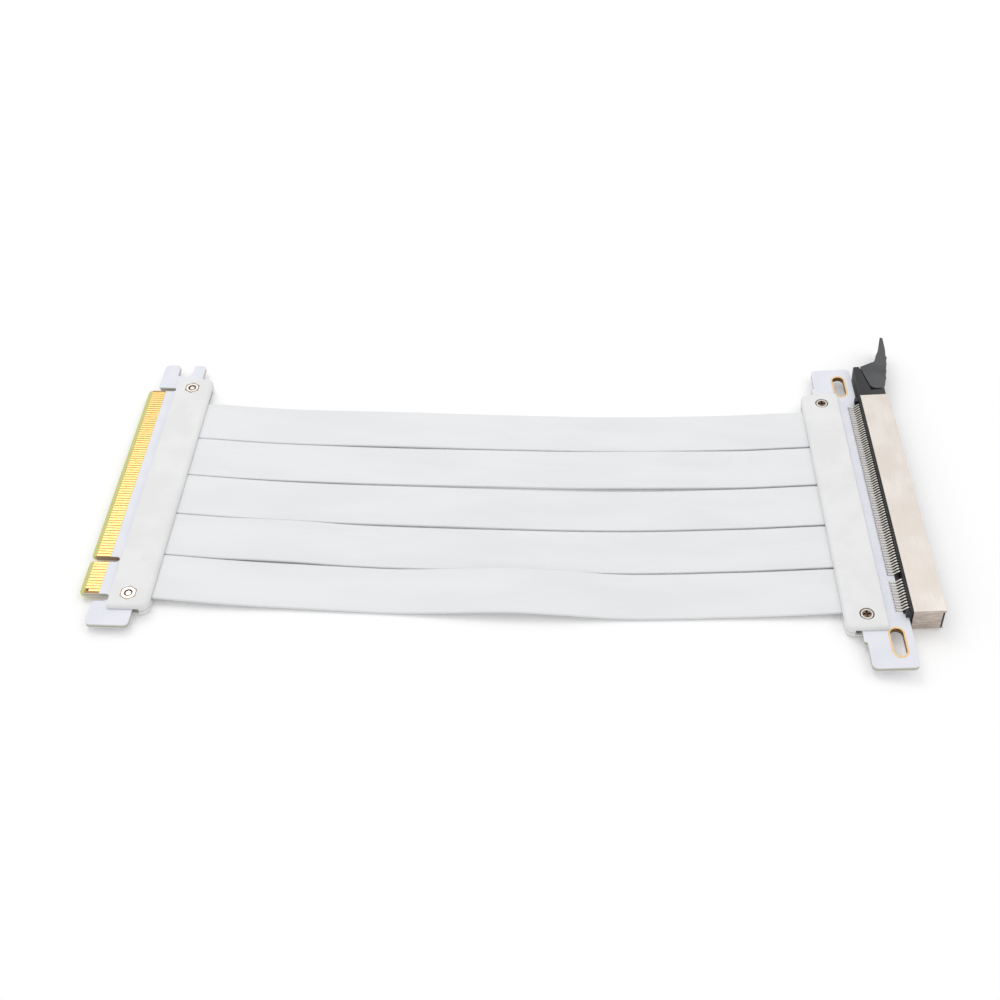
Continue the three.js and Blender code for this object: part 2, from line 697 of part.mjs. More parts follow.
// Folded metal shell, open at the mouth, at the back and where the latch tower leaves it
function slotShell() {
  const inner = shellWall;
  const outerShape = rectangle(-shellHalfLength, shellHalfLength, -shellHalfHeight, shellHalfHeight, shellFold);
  const innerShape = rectangle(
    -shellHalfLength + inner, shellHalfLength - inner, -shellHalfHeight + inner, shellHalfHeight - inner,
    shellFold - inner,
  );
  const stand = (shape, x0, x1) => slab(shape, x0, x1).applyMatrix4(
    new THREE.Matrix4().makeBasis(
      new THREE.Vector3(0, 1, 0), new THREE.Vector3(0, 0, 1), new THREE.Vector3(1, 0, 0),
    ),
  );
  const outer = stand(outerShape, shellRear, shellFront);
  const hollow = stand(innerShape, shellRear - 1, shellFront + 1);
  const farOpening = block(
    shellRear - 1, shellFront + 1, shellHalfLength - shellFold, shellHalfLength + 1,
    -shellHalfHeight + inner, shellHalfHeight - inner,
  );
  const mouthNotch = block(
    shellFront - shellMouthNotch, shellFront + 1, -shellHalfLength - 1, -shellHalfLength + shellFold,
    -shellHalfHeight + shellFold, shellHalfHeight - shellFold,
  );
  return carve(outer, [], [hollow, farOpening, mouthNotch]);
}

// The pin's hole: through the housing's web and blind in the latch
function pivotBore() {
  const depth = pinHalfLength + pivotClearance;
  return post(pivotX, pivotY, -depth, depth, pivotRadius + pivotClearance, 16);
}

// Card latch, drawn open as it lies: an eye round the pivot, a body along the tower and a finger horn
function slotLatch() {
  const eye = post(pivotX, pivotY, -latchHalfHeight, latchHalfHeight, latchEyeRadius, 28);
  const wallLean = (towerWallRoot - towerWallTip) / (towerEnd - towerRoot);
  const rootX = towerWallRoot - wallLean * (pivotY - towerRoot);
  const bodyShape = outline([
    [rootX + latchClearance, pivotY, 0],
    [pivotX + latchEyeRadius, pivotY - webClearance, 0],
    ...latchCorners.map(([x, y, radius]) => [pivotX + x, pivotY + y, radius]),
    [towerWallTip + latchClearance, towerEnd, towerCorner],
  ]);
  const body = slab(bodyShape, -latchHalfHeight, latchHalfHeight);
  const ridges = [];
  for (let i = 0; i < gripRidges; i += 1) {
    const x = pivotX + gripStart[0] + i * gripStep[0];
    const y = pivotY + gripStart[1] + i * gripStep[1];
    ridges.push(post(x, y, -latchHalfHeight, latchHalfHeight, gripRidgeRadius, 10));
  }
  const slotHalf = webHalfHeight + webClearance;
  const webSlot = block(
    towerWallTip - latchEyeRadius, pivotX + 2 * latchEyeRadius,
    pivotY - 2 * latchEyeRadius, pivotY + latchSlotReach,
    -slotHalf, slotHalf,
  );
  return carve(eye, [body, ...ridges], [webSlot, pivotBore()]);
}

function latchPin() {
  return toGeometry(toSolid(post(pivotX, pivotY, -pinHalfLength, pinHalfLength, pivotRadius, 16)));
}

// Plug end, its parting plane one half cover above the table
const plugEnd = new THREE.Group();
plugEnd.position.z = coverHalfHeight;
plugEnd.add(piece('male_board', plugBoard(), 'mask'));
const plugClamp = clampSet('male', false, 1);
const plugTails = tailSet('male', plugRibbonY, plugRibbonPitch, 1);
plugClamp.position.x = plugExit;
plugTails.position.x = plugExit;
plugEnd.add(plugClamp, plugTails);

// Slot end, leaning on the lower rear edge of its shell
const slotEnd = new THREE.Group();
slotEnd.position.set(slotFootX, 0, 0);
slotEnd.rotation.y = -slotTilt;
const slotFrame = new THREE.Group();
slotFrame.position.set(-shellRear, 0, shellHalfHeight);
slotEnd.add(slotFrame);
const slotClamp = clampSet('slot', true, -1);
const slotTails = tailSet('slot', slotRibbonY, slotRibbonPitch, -1);
[slotClamp, slotTails].forEach((group) => {
  group.position.x = slotCoverRear;
  group.rotation.z = Math.PI;
});
slotFrame.add(
  slotClamp,
  slotTails,
  piece('slot_board', slotBoard(), 'mask'),
  piece('slot_housing', slotHousing(), 'black'),
  piece('contacts_upper', contactRow(), 'contact'),
  piece('contacts_lower', mirrored(contactRow()), 'contact'),
  piece('slot_shell', slotShell(), 'shell'),
  piece('slot_latch', slotLatch(), 'black'),
  piece('latch_pin', latchPin(), 'nickel'),
);

const model = new THREE.Group();
model.add(plugEnd, slotEnd);
for (let i = 0; i < ribbonCount; i += 1) {
  model.add(piece(`ribbon_${i + 1}`, ribbon(i), 'ribbon'));
}

// Origin at the middle of the object's box, on the table
model.updateMatrixWorld(true);
const size = new THREE.Box3().setFromObject(model, true);
const centre = size.getCenter(new THREE.Vector3());
model.position.set(-centre.x, -centre.y, -size.min.z);
model.updateMatrixWorld(true);

export default model;
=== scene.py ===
"""Riser cable: a card plug and a shielded card slot joined by five flat ribbons."""

import json
import math

import bmesh
import bpy
from mathutils import Matrix, Vector
from mathutils.geometry import interpolate_bezier


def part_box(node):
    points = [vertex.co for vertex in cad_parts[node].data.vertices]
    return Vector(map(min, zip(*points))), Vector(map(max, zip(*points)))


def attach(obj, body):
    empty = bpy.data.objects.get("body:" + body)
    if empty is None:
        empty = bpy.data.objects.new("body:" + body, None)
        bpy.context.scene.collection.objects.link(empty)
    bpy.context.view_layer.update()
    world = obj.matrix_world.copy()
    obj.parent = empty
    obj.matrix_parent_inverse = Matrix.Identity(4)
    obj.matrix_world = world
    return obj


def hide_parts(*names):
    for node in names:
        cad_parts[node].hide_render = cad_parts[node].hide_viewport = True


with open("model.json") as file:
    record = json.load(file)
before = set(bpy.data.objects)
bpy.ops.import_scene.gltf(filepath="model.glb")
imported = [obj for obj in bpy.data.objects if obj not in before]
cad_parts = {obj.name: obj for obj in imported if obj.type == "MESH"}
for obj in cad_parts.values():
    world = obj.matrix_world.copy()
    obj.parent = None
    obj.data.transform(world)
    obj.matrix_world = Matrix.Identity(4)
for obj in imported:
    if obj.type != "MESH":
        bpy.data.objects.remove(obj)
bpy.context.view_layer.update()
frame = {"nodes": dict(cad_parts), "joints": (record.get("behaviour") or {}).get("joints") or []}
nodes = frame["nodes"]

MM = 0.001


# Sizes in millimetres, as in the part's source

PITCH = 1.0
SHORT_GROUP = 11
LONG_GROUP = 71
KEY_TO_CONTACT = 1.5
END_MARGIN = 1.1
CONTACT_SPREAD = (SHORT_GROUP + LONG_GROUP - 2) * PITCH + 2 * KEY_TO_CONTACT
FIRST_CONTACT = -CONTACT_SPREAD / 2
KEY_Y = FIRST_CONTACT + (SHORT_GROUP - 1) * PITCH + KEY_TO_CONTACT
HALF_BOARD = 0.8
FINGER_START = 1.4
FINGER_END = 5.5
FINGER_WIDTH = 0.7
LEAD_IN_DEPTH = 1.2
HALF_TONGUE = CONTACT_SPREAD / 2 + END_MARGIN
COVER_HALF_HEIGHT = 2.2
PLUG_EXIT = 20.5
SLOT_COVER_REAR = -14.3
SCREW_TIP = 2.05
SCREW_SETBACK = 6.2
SCREW_SPREAD = HALF_TONGUE + 0.5
NUT_BORE = 1.1
NUT_FLAT = 2.0
RIBBON_COUNT = 5
RIBBON_WIDTH = 16.0
RIBBON_THICKNESS = 0.9
RIBBON_INSET = 2.9
FREE_SPAN = 192.3
EAR_HOLE = Vector((-1.1, 52.1))
EAR_HOLE_WIDTH = 3.55
EAR_HOLE_LENGTH = 9.3
PLATING_WIDTH = 0.5
SHELL_HALF_LENGTH = HALF_TONGUE + 1.9
MOUTH = 12.6
LATCH_PIVOT = Vector((10.6, SHELL_HALF_LENGTH + 6.4, 0.0))


# Where the two ends lie: each has its own frame in millimetres, with Z = 0 in its board

def plug_frame():
    """The plug's frame: X from the tongue's edge, Y from the middle of the connector."""
    board_low, board_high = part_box("male_board")
    cover_low, cover_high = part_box("male_cover_top")
    middle = ((cover_low[1] + cover_high[1]) / 2, (board_low[2] + board_high[2]) / 2)
    return Vector((board_low[0], *middle)), 0.0


def slot_frame():
    """The slot's frame: X from the contact feet. It leans back by the slope of the latch's axis."""
    joint = frame["joints"][0]
    lean = math.atan2(joint["axis"][0], -joint["axis"][2])
    turn = Matrix.Rotation(-lean, 3, "Y")
    return Vector(joint["pos_m"]) - turn @ (LATCH_PIVOT * MM), -lean


PLUG_ORIGIN, PLUG_TURN = plug_frame()
SLOT_ORIGIN, SLOT_TURN = slot_frame()


def placed(origin, turn):
    """From an end's millimetres to the row frame's metres."""
    return Matrix.Translation(origin) @ Matrix.Rotation(turn, 4, "Y") @ Matrix.Scale(MM, 4)


PLUG = placed(PLUG_ORIGIN, PLUG_TURN)
SLOT = placed(SLOT_ORIGIN, SLOT_TURN)
TABLE = placed(Vector((PLUG_ORIGIN.x, PLUG_ORIGIN.y, 0)), 0)


def contact_y(index):
    """The middle of one contact along the card edge, past the key if it is in the long group."""
    past_key = 2 * KEY_TO_CONTACT - PITCH if index >= SHORT_GROUP else 0
    return FIRST_CONTACT + index * PITCH + past_key


# Finishes

def paint(red, green, blue):
    """The linear colour of ordinary screen values."""
    def linear(value):
        share = value / 255
        return share / 12.92 if share <= 0.04045 else ((share + 0.055) / 1.055) ** 2.4
    return (linear(red), linear(green), linear(blue), 1.0)


class Wire:
    """One socket's value in a finish. Arithmetic on it adds Math nodes."""

    def __init__(self, finish, socket):
        self.finish = finish
        self.socket = socket

    def maths(self, operation, *values):
        return self.finish.add("ShaderNodeMath", {"operation": operation}, *values)

    def __add__(self, other):
        return self.maths("ADD", self, other)

    def __sub__(self, other):
        return self.maths("SUBTRACT", self, other)

    def __rsub__(self, other):
        return self.maths("SUBTRACT", other, self)

    def __mul__(self, other):
        return self.maths("MULTIPLY", self, other)

    def __truediv__(self, other):
        return self.maths("DIVIDE", self, other)

    def __mod__(self, other):
        return self.maths("FLOORED_MODULO", self, other)

    def __gt__(self, other):
        return self.maths("GREATER_THAN", self, other)

    def __lt__(self, other):
        return self.maths("LESS_THAN", self, other)

    def __abs__(self):
        return self.maths("ABSOLUTE", self)

    __radd__ = __add__
    __rmul__ = __mul__

    def between(self, low, high):
        return (self > low) * (self < high)

    def near(self, value, reach):
        return abs(self - value) < reach

    def ramp(self, low, high):
        """From 0 at low to 1 at high, held outside them."""
        return self.finish.add("ShaderNodeMapRange", {"interpolation_type": "SMOOTHSTEP"}, self, low, high)


class Finish:
    """A material being made, with its surface shader and the object's own coordinates."""

    def __init__(self, name, colour, roughness, metallic=0.0):
        self.material = bpy.data.materials.new(name)
        self.material.use_nodes = True
        self.nodes = self.material.node_tree.nodes
        self.links = self.material.node_tree.links
        self.surface = self.nodes["Principled BSDF"]
        self.set("Base Color", colour)
        self.set("Roughness", roughness)
        self.set("Metallic", metallic)

    def add(self, kind, settings, *values, out=0, **named):
        """A node with its settings made first, then its sockets in order and by name."""
        node = self.nodes.new(kind)
        for name, setting in settings.items():
            if name == "stops":
                self.place_stops(node.color_ramp.elements, setting)
            else:
                setattr(node, name, setting)
        sockets = list(enumerate(values)) + [(name.replace("_", " "), named[name]) for name in named]
        for name, value in sockets:
            self.feed(node.inputs[name], value)
        return Wire(self, node.outputs[out])

    @staticmethod
    def place_stops(elements, stops):
        while len(elements) < len(stops):
            elements.new(1.0)
        for element, (position, colour) in zip(elements, stops):
            element.position = position
            element.color = colour

    def feed(self, socket, value):
        if isinstance(value, Wire):
            self.links.new(value.socket, socket)
        else:
            socket.default_value = value

    def set(self, name, value):
        self.feed(self.surface.inputs[name], value)

    def coordinates(self, origin, turn=0.0):
        """X, Y and Z in an end's own millimetres."""
        spot = self.add("ShaderNodeTexCoord", {}, out="Object")
        mapped = self.add(
            "ShaderNodeMapping", {"vector_type": "TEXTURE"}, spot,
            Location=tuple(origin), Rotation=(0, turn, 0), Scale=(MM, MM, MM),
        )
        parts = [self.add("ShaderNodeSeparateXYZ", {}, mapped, out=axis) for axis in "XYZ"]
        return mapped, *parts

    def noise(self, where, scale, detail=3.0, roughness=0.55, stretch=(1, 1, 1)):
        """Even noise from 0 to 1. The scale is in patches for each millimetre."""
        stretched = self.add("ShaderNodeMapping", {"vector_type": "POINT"}, where, Scale=stretch)
        settings = {"noise_dimensions": "3D"}
        return self.add(
            "ShaderNodeTexNoise", settings, stretched, Scale=scale, Detail=detail, Roughness=roughness,
        )

    def mix(self, mask, first, second):
        """A colour from the first where the mask is 0 to the second where it is 1."""
        node = self.nodes.new("ShaderNodeMix")
        node.data_type = "RGBA"
        for place, value in ((0, mask), (6, first), (7, second)):
            self.feed(node.inputs[place], value)
        return Wire(self, node.outputs[2])

    def bump(self, height, distance, strength=1.0):
        """Relief of the given depth in millimetres where the height goes from 0 to 1."""
        normal = self.add("ShaderNodeBump", {}, Strength=strength, Distance=distance * MM, Height=height)
        self.set("Normal", normal)
        return normal


def board_finish(name, origin, turn):
    """White solder mask with a faint cool cast, yellow-green laminate on the cut edges."""
    finish = Finish(name, paint(225, 228, 238), 0.4)
    where, x, y, z = finish.coordinates(origin, turn)
    grain = finish.noise(where, 0.15, detail=2.0)
    mask = finish.mix(grain.ramp(0.3, 0.7), paint(234, 235, 242), paint(228, 230, 238))
    laminate = finish.mix(abs(z) < 0.3, paint(216, 217, 210), paint(176, 172, 158))
    edge = abs(z) < HALF_BOARD - 0.04
    return finish, where, x, y, z, edge, mask, laminate


def plug_board_finish():
    """The plug's board: gold fingers on a bare bevelled tongue, white mask elsewhere."""
    finish, where, x, y, z, edge, mask, laminate = board_finish("plug_mask", PLUG_ORIGIN, PLUG_TURN)
    past_key = (y > KEY_Y) * (2 * KEY_TO_CONTACT - PITCH)
    step = (y - past_key - FIRST_CONTACT + PITCH / 2) % PITCH
    on_line = abs(step - PITCH / 2) < FINGER_WIDTH / 2
    in_rows = abs(y) < CONTACT_SPREAD / 2 + FINGER_WIDTH / 2
    off_key = abs(y - KEY_Y) > KEY_TO_CONTACT - FINGER_WIDTH / 2 - 0.01
    along = x.between(FINGER_START - 0.02, FINGER_END + 0.02)
    first = (y < FIRST_CONTACT + PITCH / 2) * (x < FINGER_START + 0.98)
    faces = abs(z) > HALF_BOARD - 0.01
    finger = on_line * in_rows * off_key * along * (1 - first) * faces
    wear = finish.noise(where, 2.5, stretch=(0.25, 1, 1)).ramp(0.45, 0.75)
    gold = finish.mix(wear, paint(250, 216, 142), paint(238, 196, 114))
    gap = finish.mix(finish.noise(where, 2.0), paint(192, 142, 66), paint(166, 118, 52))
    lead_in = x < LEAD_IN_DEPTH + 0.05
    tongue = abs(y) < HALF_TONGUE
    bare = tongue * (x > FINGER_START - 0.1) * (x < FINGER_END + 0.05)
    chamfer = finish.mix(finish.noise(where, 1.0), paint(192, 194, 104), paint(214, 213, 138))
    rubbed = finish.noise(where, 0.5, stretch=(0.2, 1, 1)) * 1.4 + 2.4
    tick = (abs(x - rubbed) < 0.07) * (abs(step - PITCH / 2) < 0.3) * finish.noise(where, 0.9).ramp(0.4, 0.6)
    # Painted shade: the key notch's walls are laminate painted darker brown-grey for the shade in the notch.
    key_wall_painted_shade = edge * (abs(y - KEY_Y) < KEY_TO_CONTACT) * (x > LEAD_IN_DEPTH)
    land = finish.mix(finish.noise(where, 2.0), paint(222, 214, 150), paint(206, 198, 132))
    colour = finish.mix(tongue * (x < FINGER_START), mask, land)
    colour = finish.mix(bare, colour, gap)
    colour = finish.mix(lead_in * tongue, colour, chamfer)
    colour = finish.mix(edge * (1 - lead_in * tongue), colour, laminate)
    colour = finish.mix(key_wall_painted_shade, colour, paint(170, 146, 126))
    colour = finish.mix(finger, colour, gold)
    colour = finish.mix(finger * tick * 0.55, colour, paint(120, 84, 36))
    across = y - FIRST_CONTACT
    reach = x - (FINGER_START + 0.7)
    dot = faces * (across * across + reach * reach < 0.16)
    colour = finish.mix(dot, colour, paint(52, 50, 40))
    finish.set("Base Color", colour)
    finish.set("Metallic", finger * 0.85)
    finish.set("Roughness", 0.42 - finger * 0.12)
    finish.bump(finish.noise(where, 6.0), 0.01)
    return finish.material


def slot_board_finish():
    """The slot's board: white mask with copper rims round the slotted holes, and a painted shadow of the housing under
    the leads.
    """
    finish, where, x, y, z, edge, mask, laminate = board_finish("slot_mask", SLOT_ORIGIN, SLOT_TURN)
    across = x - EAR_HOLE.x
    straight = (EAR_HOLE_LENGTH - EAR_HOLE_WIDTH) / 2
    along = finish.add(
        "ShaderNodeMath", {"operation": "MAXIMUM"}, abs(abs(y) - EAR_HOLE.y) - straight, 0.0,
    )
    rim = finish.add("ShaderNodeMath", {"operation": "SQRT"}, across * across + along * along)
    plated = rim < EAR_HOLE_WIDTH / 2 + PLATING_WIDTH + 0.02
    copper = finish.mix(finish.noise(where, 2.0).ramp(0.3, 0.7), paint(244, 214, 170), paint(230, 190, 136))
    colour = finish.mix(edge, mask, laminate)
    # Painted shadow: the board's top under the leads, beside the housing, is painted near black for the housing's
    # shadow.
    painted_lead_shadow = (x > 1.9) * (abs(y) < HALF_TONGUE) * (1 - edge)
    colour = finish.mix(painted_lead_shadow, colour, paint(40, 40, 44))
    colour = finish.mix(plated, colour, copper)
    colour = finish.mix(plated * edge, colour, paint(120, 92, 58))
    finish.set("Base Color", colour)
    finish.set("Metallic", plated * 0.7)
    finish.set("Roughness", 0.42 - plated * 0.08)
    finish.bump(finish.noise(where, 6.0), 0.01)
    return finish.material


def moulding_finish(name, light, dark, roughness, origin, turn, grain=0.012):
    """Moulded plastic with a fine spark-eroded grain and a slow drift of shade."""
    finish = Finish(name, light, roughness)
    where, x, y, z = finish.coordinates(origin, turn)
    drift = finish.noise(where, 0.12, detail=2.0)
    finish.set("Base Color", finish.mix(drift.ramp(0.35, 0.65), light, dark))
    fine = finish.noise(where, 5.0, detail=4.0)
    finish.set("Roughness", fine * 0.12 + (roughness - 0.06))
    finish.bump(fine, grain)
    return finish.material


def ribbon_finish():
    """Satin jacket: faint ridges over the wires and slow unevenness along the run."""
    finish = Finish("ribbon_jacket", paint(233, 234, 236), 0.5)
    where, x, y, z = finish.coordinates(TABLE.translation)
    across = finish.add("ShaderNodeAttribute", {"attribute_name": "across"}, out="Fac")
    ridge = finish.add("ShaderNodeMath", {"operation": "SINE"}, across * (2 * math.pi / 1.0))
    drift = finish.noise(where, 0.06, detail=3.0, stretch=(0.4, 1.6, 1))
    shade = finish.mix(drift.ramp(0.35, 0.68), paint(235, 236, 238), paint(231, 232, 234))
    finish.set("Base Color", shade)
    fine = finish.noise(where, 3.0, detail=3.0)
    finish.set("Roughness", fine * 0.1 + 0.44)
    finish.bump(ridge * 0.25 + fine * 0.25 + drift, 0.03)
    return finish.material


def metal_finish(name, colour, shade, roughness, origin, turn, stretch=(1, 1, 1), scale=1.0, grain=0.004):
    """Plated metal: shade and roughness follow fine marks drawn out along one way."""
    finish = Finish(name, colour, roughness, 1.0)
    where, x, y, z = finish.coordinates(origin, turn)
    marks = finish.noise(where, scale, detail=5.0, roughness=0.65, stretch=stretch)
    finish.set("Base Color", finish.mix(marks.ramp(0.3, 0.7), colour, shade))
    finish.set("Roughness", marks * 0.16 + (roughness - 0.08))
    finish.bump(marks, grain)
    return finish.material


def shell_finish():
    """Folded nickel-plated sheet, brushed along its length, its near end face streaked and darkened with painted shade.
    """
    finish = Finish("shell_sheet", paint(226, 218, 208), 0.3, 1.0)
    where, x, y, z = finish.coordinates(SLOT_ORIGIN, SLOT_TURN)
    brushed = finish.noise(where, 1.4, detail=5.0, roughness=0.65, stretch=(5, 0.12, 5))
    cloudy = finish.noise(where, 0.08, detail=2.0)
    top = finish.mix(brushed.ramp(0.3, 0.7), paint(236, 230, 224), paint(224, 216, 208))
    top = finish.mix(cloudy.ramp(0.35, 0.7) * 0.6, top, paint(216, 206, 197))
    # Painted shade darkens the near end face; its streaks follow the brushed grain.
    streaks = finish.noise(where, 1.6, detail=5.0, roughness=0.7, stretch=(0.18, 1, 4))
    near_end_painted_shade = finish.mix(streaks.ramp(0.3, 0.7), paint(222, 212, 203), paint(150, 134, 122))
    at_end = y < 0.25 - SHELL_HALF_LENGTH
    finish.set("Base Color", finish.mix(at_end, top, near_end_painted_shade))
    finish.set("Roughness", brushed * 0.16 + 0.24)
    finish.bump(brushed, 0.004)
    return finish.material


def fastener_finish(name, origin, turn, screw_x):
    """Nickel: bright faces, with painted shade: brown edges about the nut and dark recesses below the faces."""
    finish = Finish(name, paint(222, 219, 212), 0.28, 1.0)
    where, x, y, z = finish.coordinates(origin, turn)
    marks = finish.noise(where, 2.5, detail=4.0)
    bright = finish.mix(marks.ramp(0.35, 0.65), paint(236, 233, 228), paint(204, 196, 187))
    across = x - screw_x
    along = abs(y) - SCREW_SPREAD
    radius = finish.add("ShaderNodeMath", {"operation": "SQRT"}, across * across + along * along)
    height = abs(z)
    on_nut = height > SCREW_TIP + 0.03
    bore_edge_painted_shade = on_nut * (radius < NUT_BORE + 0.2)
    # Painted shade: below the faces, where the cross recesses are, the nickel is painted dark brown.
    colour = finish.mix(height < SCREW_TIP - 0.02, bright, paint(84, 74, 64))
    colour = finish.mix(on_nut, colour, paint(226, 221, 214))
    # Painted shade: brown round the nut's bore and along its outer rim.
    colour = finish.mix(bore_edge_painted_shade, colour, paint(134, 112, 96))
    colour = finish.mix((radius > NUT_FLAT - 0.12) * on_nut, colour, paint(176, 150, 128))
    finish.set("Base Color", colour)
    finish.set("Roughness", marks * 0.12 + 0.2)
    finish.bump(marks, 0.006)
    return finish.material


def dress(names, material):
    """Gives CAD nodes their finish."""
    for name in names:
        mesh = nodes[name].data
        mesh.materials.clear()
        mesh.materials.append(material)


# Ribbons

# Share of the free span, sideways place of the group's middle line, height of the ribbon's middle
RIBBON_ROUTE = [
    (0.03, -3.1, 2.17), (0.08, -3.5, 1.9), (0.14, -3.65, 1.45), (0.2, -3.6, 1.05), (0.27, -3.7, 0.82),
    (0.35, -3.8, 0.72), (0.43, -3.75, 0.7), (0.52, -3.65, 0.7), (0.6, -3.6, 0.7), (0.68, -3.3, 0.7),
    (0.76, -2.6, 0.74), (0.83, -1.8, 0.9), (0.89, -1.2, 1.2), (0.94, -0.6, 1.58),
]
PLUG_RIBBON_Y = -2.8
SLOT_RIBBON_Y = 0.1
PLUG_RIBBON_PITCH = 16.2
SLOT_RIBBON_PITCH = 16.6

# How far each ribbon drifts sideways in mid-span
RIBBON_DRIFT = [0.5, 0.5, -0.3, -0.4, -0.4]

# Each ribbon's own long low hump: start and end along the span, and height
RIBBON_HUMPS = [(0.15, 0.5, 0.5), (0.55, 0.9, 0.6), (0.2, 0.55, 0.4), (0.04, 0.3, 0.7), (0.34, 0.72, 2.1)]


def hump_height(share, start, end, height):
    inside = min(max((share - start) / (end - start), 0), 1)
    return height * math.sin(math.pi * inside) ** 2


def slot_point(x):
    """A point in the slot's board plane, in the table's millimetres."""
    return TABLE.inverted() @ SLOT @ Vector((x, 0, 0))


def ribbon_route(index):
    """The points that one ribbon's middle line goes through, in the table's millimetres."""
    exit_point = slot_point(SLOT_COVER_REAR)
    end_point = slot_point(SLOT_COVER_REAR + RIBBON_INSET)
    slope = math.tan(-SLOT_TURN)
    points = [Vector((PLUG_EXIT - RIBBON_INSET, PLUG_RIBBON_Y, COVER_HALF_HEIGHT))]
    points.append(Vector((PLUG_EXIT, PLUG_RIBBON_Y, COVER_HALF_HEIGHT)))
    for share, y, z in RIBBON_ROUTE:
        lift = hump_height(share, *RIBBON_HUMPS[index])
        points.append(Vector((PLUG_EXIT + share * FREE_SPAN, y, z + lift)))
    points.append(Vector((exit_point.x - 2, SLOT_RIBBON_Y, exit_point.z - 2 * slope)))
    points.append(Vector((exit_point.x, SLOT_RIBBON_Y, exit_point.z)))
    points.append(Vector((end_point.x, SLOT_RIBBON_Y, end_point.z)))
    for point in points:
        share = min(max((point.x - PLUG_EXIT) / FREE_SPAN, 0), 1)
        pitch = PLUG_RIBBON_PITCH + share * (SLOT_RIBBON_PITCH - PLUG_RIBBON_PITCH)
        point.y += ((RIBBON_COUNT - 1) / 2 - index) * pitch
        point.y += RIBBON_DRIFT[index] * math.sin(math.pi * share) ** 2
    return points


def smooth_line(points, steps):
    """A smooth line through the points, with the given number of steps between each two."""
    line = []
    last = len(points) - 1
    for i in range(last):
        before = points[max(i - 1, 0)]
        after = points[min(i + 2, last)]
        third = (points[i + 1] - points[i]).length / 3
        leave = (points[i + 1] - before).normalized() * third
        arrive = (after - points[i]).normalized() * third
        stretch = interpolate_bezier(points[i], points[i] + leave, points[i + 1] - arrive, points[i + 1], steps + 1)
        line += stretch[:-1]
    return line + [points[last]]


def ribbon_section():
    """Half-round edges and flat faces, as (across, up) in millimetres."""
    flat = RIBBON_WIDTH / 2 - 0.4
    corner = RIBBON_THICKNESS / 2
    right = [
        (flat + 0.4 * math.cos(angle), corner * math.sin(angle))
        for angle in (math.radians(a) for a in (-90, -60, -30, 0, 30, 60, 90))
    ]
    middle = [flat * share for share in (0.5, 0.0, -0.5)]
    top = [(across, corner) for across in middle]
    bottom = [(across, -corner) for across in reversed(middle)]
    left = [(-across, up) for across, up in reversed(right)]
    return right + top + left + bottom


def sweep(section, line):
    """A form with the section set square to the line at each of its points."""
    form = bmesh.new()
    across_layer = form.verts.layers.float.new("across")
    cap = None
    for i, point in enumerate(line):
        ahead = line[min(i + 1, len(line) - 1)] - line[max(i - 1, 0)]
        slope = math.atan2(ahead.z, ahead.x)
        place = Matrix.Translation(point) @ Matrix.Rotation(-slope, 4, "Y")
        if cap is None:
            ring = [form.verts.new(place @ Vector((0, across, up))) for across, up in section]
            cap = form.faces.new(ring)
        else:
            grown = bmesh.ops.extrude_face_region(form, geom=[cap])["geom"]
            cap = next(item for item in grown if isinstance(item, bmesh.types.BMFace))
            ring = [item for item in grown if isinstance(item, bmesh.types.BMVert)]
            bmesh.ops.transform(form, matrix=place @ previous.inverted(), verts=ring)
        for vert in ring:
            vert[across_layer] = (place.inverted() @ vert.co).y
        previous = place
    bmesh.ops.recalc_face_normals(form, faces=form.faces)
    return form


def finished(name, form, place, material, body, smooth_angle=35):
    """Turns a form into a piece that rides on a body, its place in its mesh."""
    bmesh.ops.transform(form, matrix=place, verts=form.verts)
    mesh = bpy.data.meshes.new(name)
    form.to_mesh(mesh)
    form.free()
    mesh.materials.append(material)
    mesh.shade_smooth()
    mesh.set_sharp_from_angle(angle=math.radians(smooth_angle))
    piece = bpy.data.objects.new(name, mesh)
    bpy.context.scene.collection.objects.link(piece)
    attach(piece, body)
    return piece


def line_length(line):
    return sum((line[i + 1] - line[i]).length for i in range(len(line) - 1))


def make_ribbon(index, material):
    line = smooth_line(ribbon_route(index), 6)
    piece = finished(f"ribbon_jacket_{index + 1}", sweep(ribbon_section(), line), TABLE, material, "cable")
    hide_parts(f"ribbon_{index + 1}")
    path = [TABLE @ point for point in line]
    line_length(path)


# Contacts

LEAD_SECTION = [(0.22, -0.09), (0.22, 0.09), (-0.22, 0.09), (-0.22, -0.09)]
LEAD_LINE = [(0.0, 1.2), (0.2, 1.02), (0.9, 0.95), (1.6, 1.0), (2.2, 1.4), (2.8, 2.0), (3.3, 2.28), (4.2, 2.3)]
SPRING_LINE = [(-6.4, 1.5), (-5.2, 1.45), (-3.6, 1.05), (-2.7, 0.8), (-2.2, 0.86), (-1.8, 1.15)]


def contact_row(name, line, start, side, material, node=None):
    """One strip for each contact of a row, bent along its side profile."""
    points = [Vector((start + x, 0, side * z)) for x, z in line]
    form = sweep(LEAD_SECTION, points)
    pattern = form.verts[:] + form.edges[:] + form.faces[:]
    for index in range(SHORT_GROUP + LONG_GROUP):
        copied = bmesh.ops.duplicate(form, geom=pattern)["geom"]
        verts = [item for item in copied if isinstance(item, bmesh.types.BMVert)]
        bmesh.ops.translate(form, vec=(0, contact_y(index), 0), verts=verts)
    bmesh.ops.delete(form, geom=[item for item in pattern if isinstance(item, bmesh.types.BMVert)], context="VERTS")
    piece = finished(name, form, SLOT, material, "cable")
    if node:
        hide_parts(node)


# Softened copies of CAD nodes

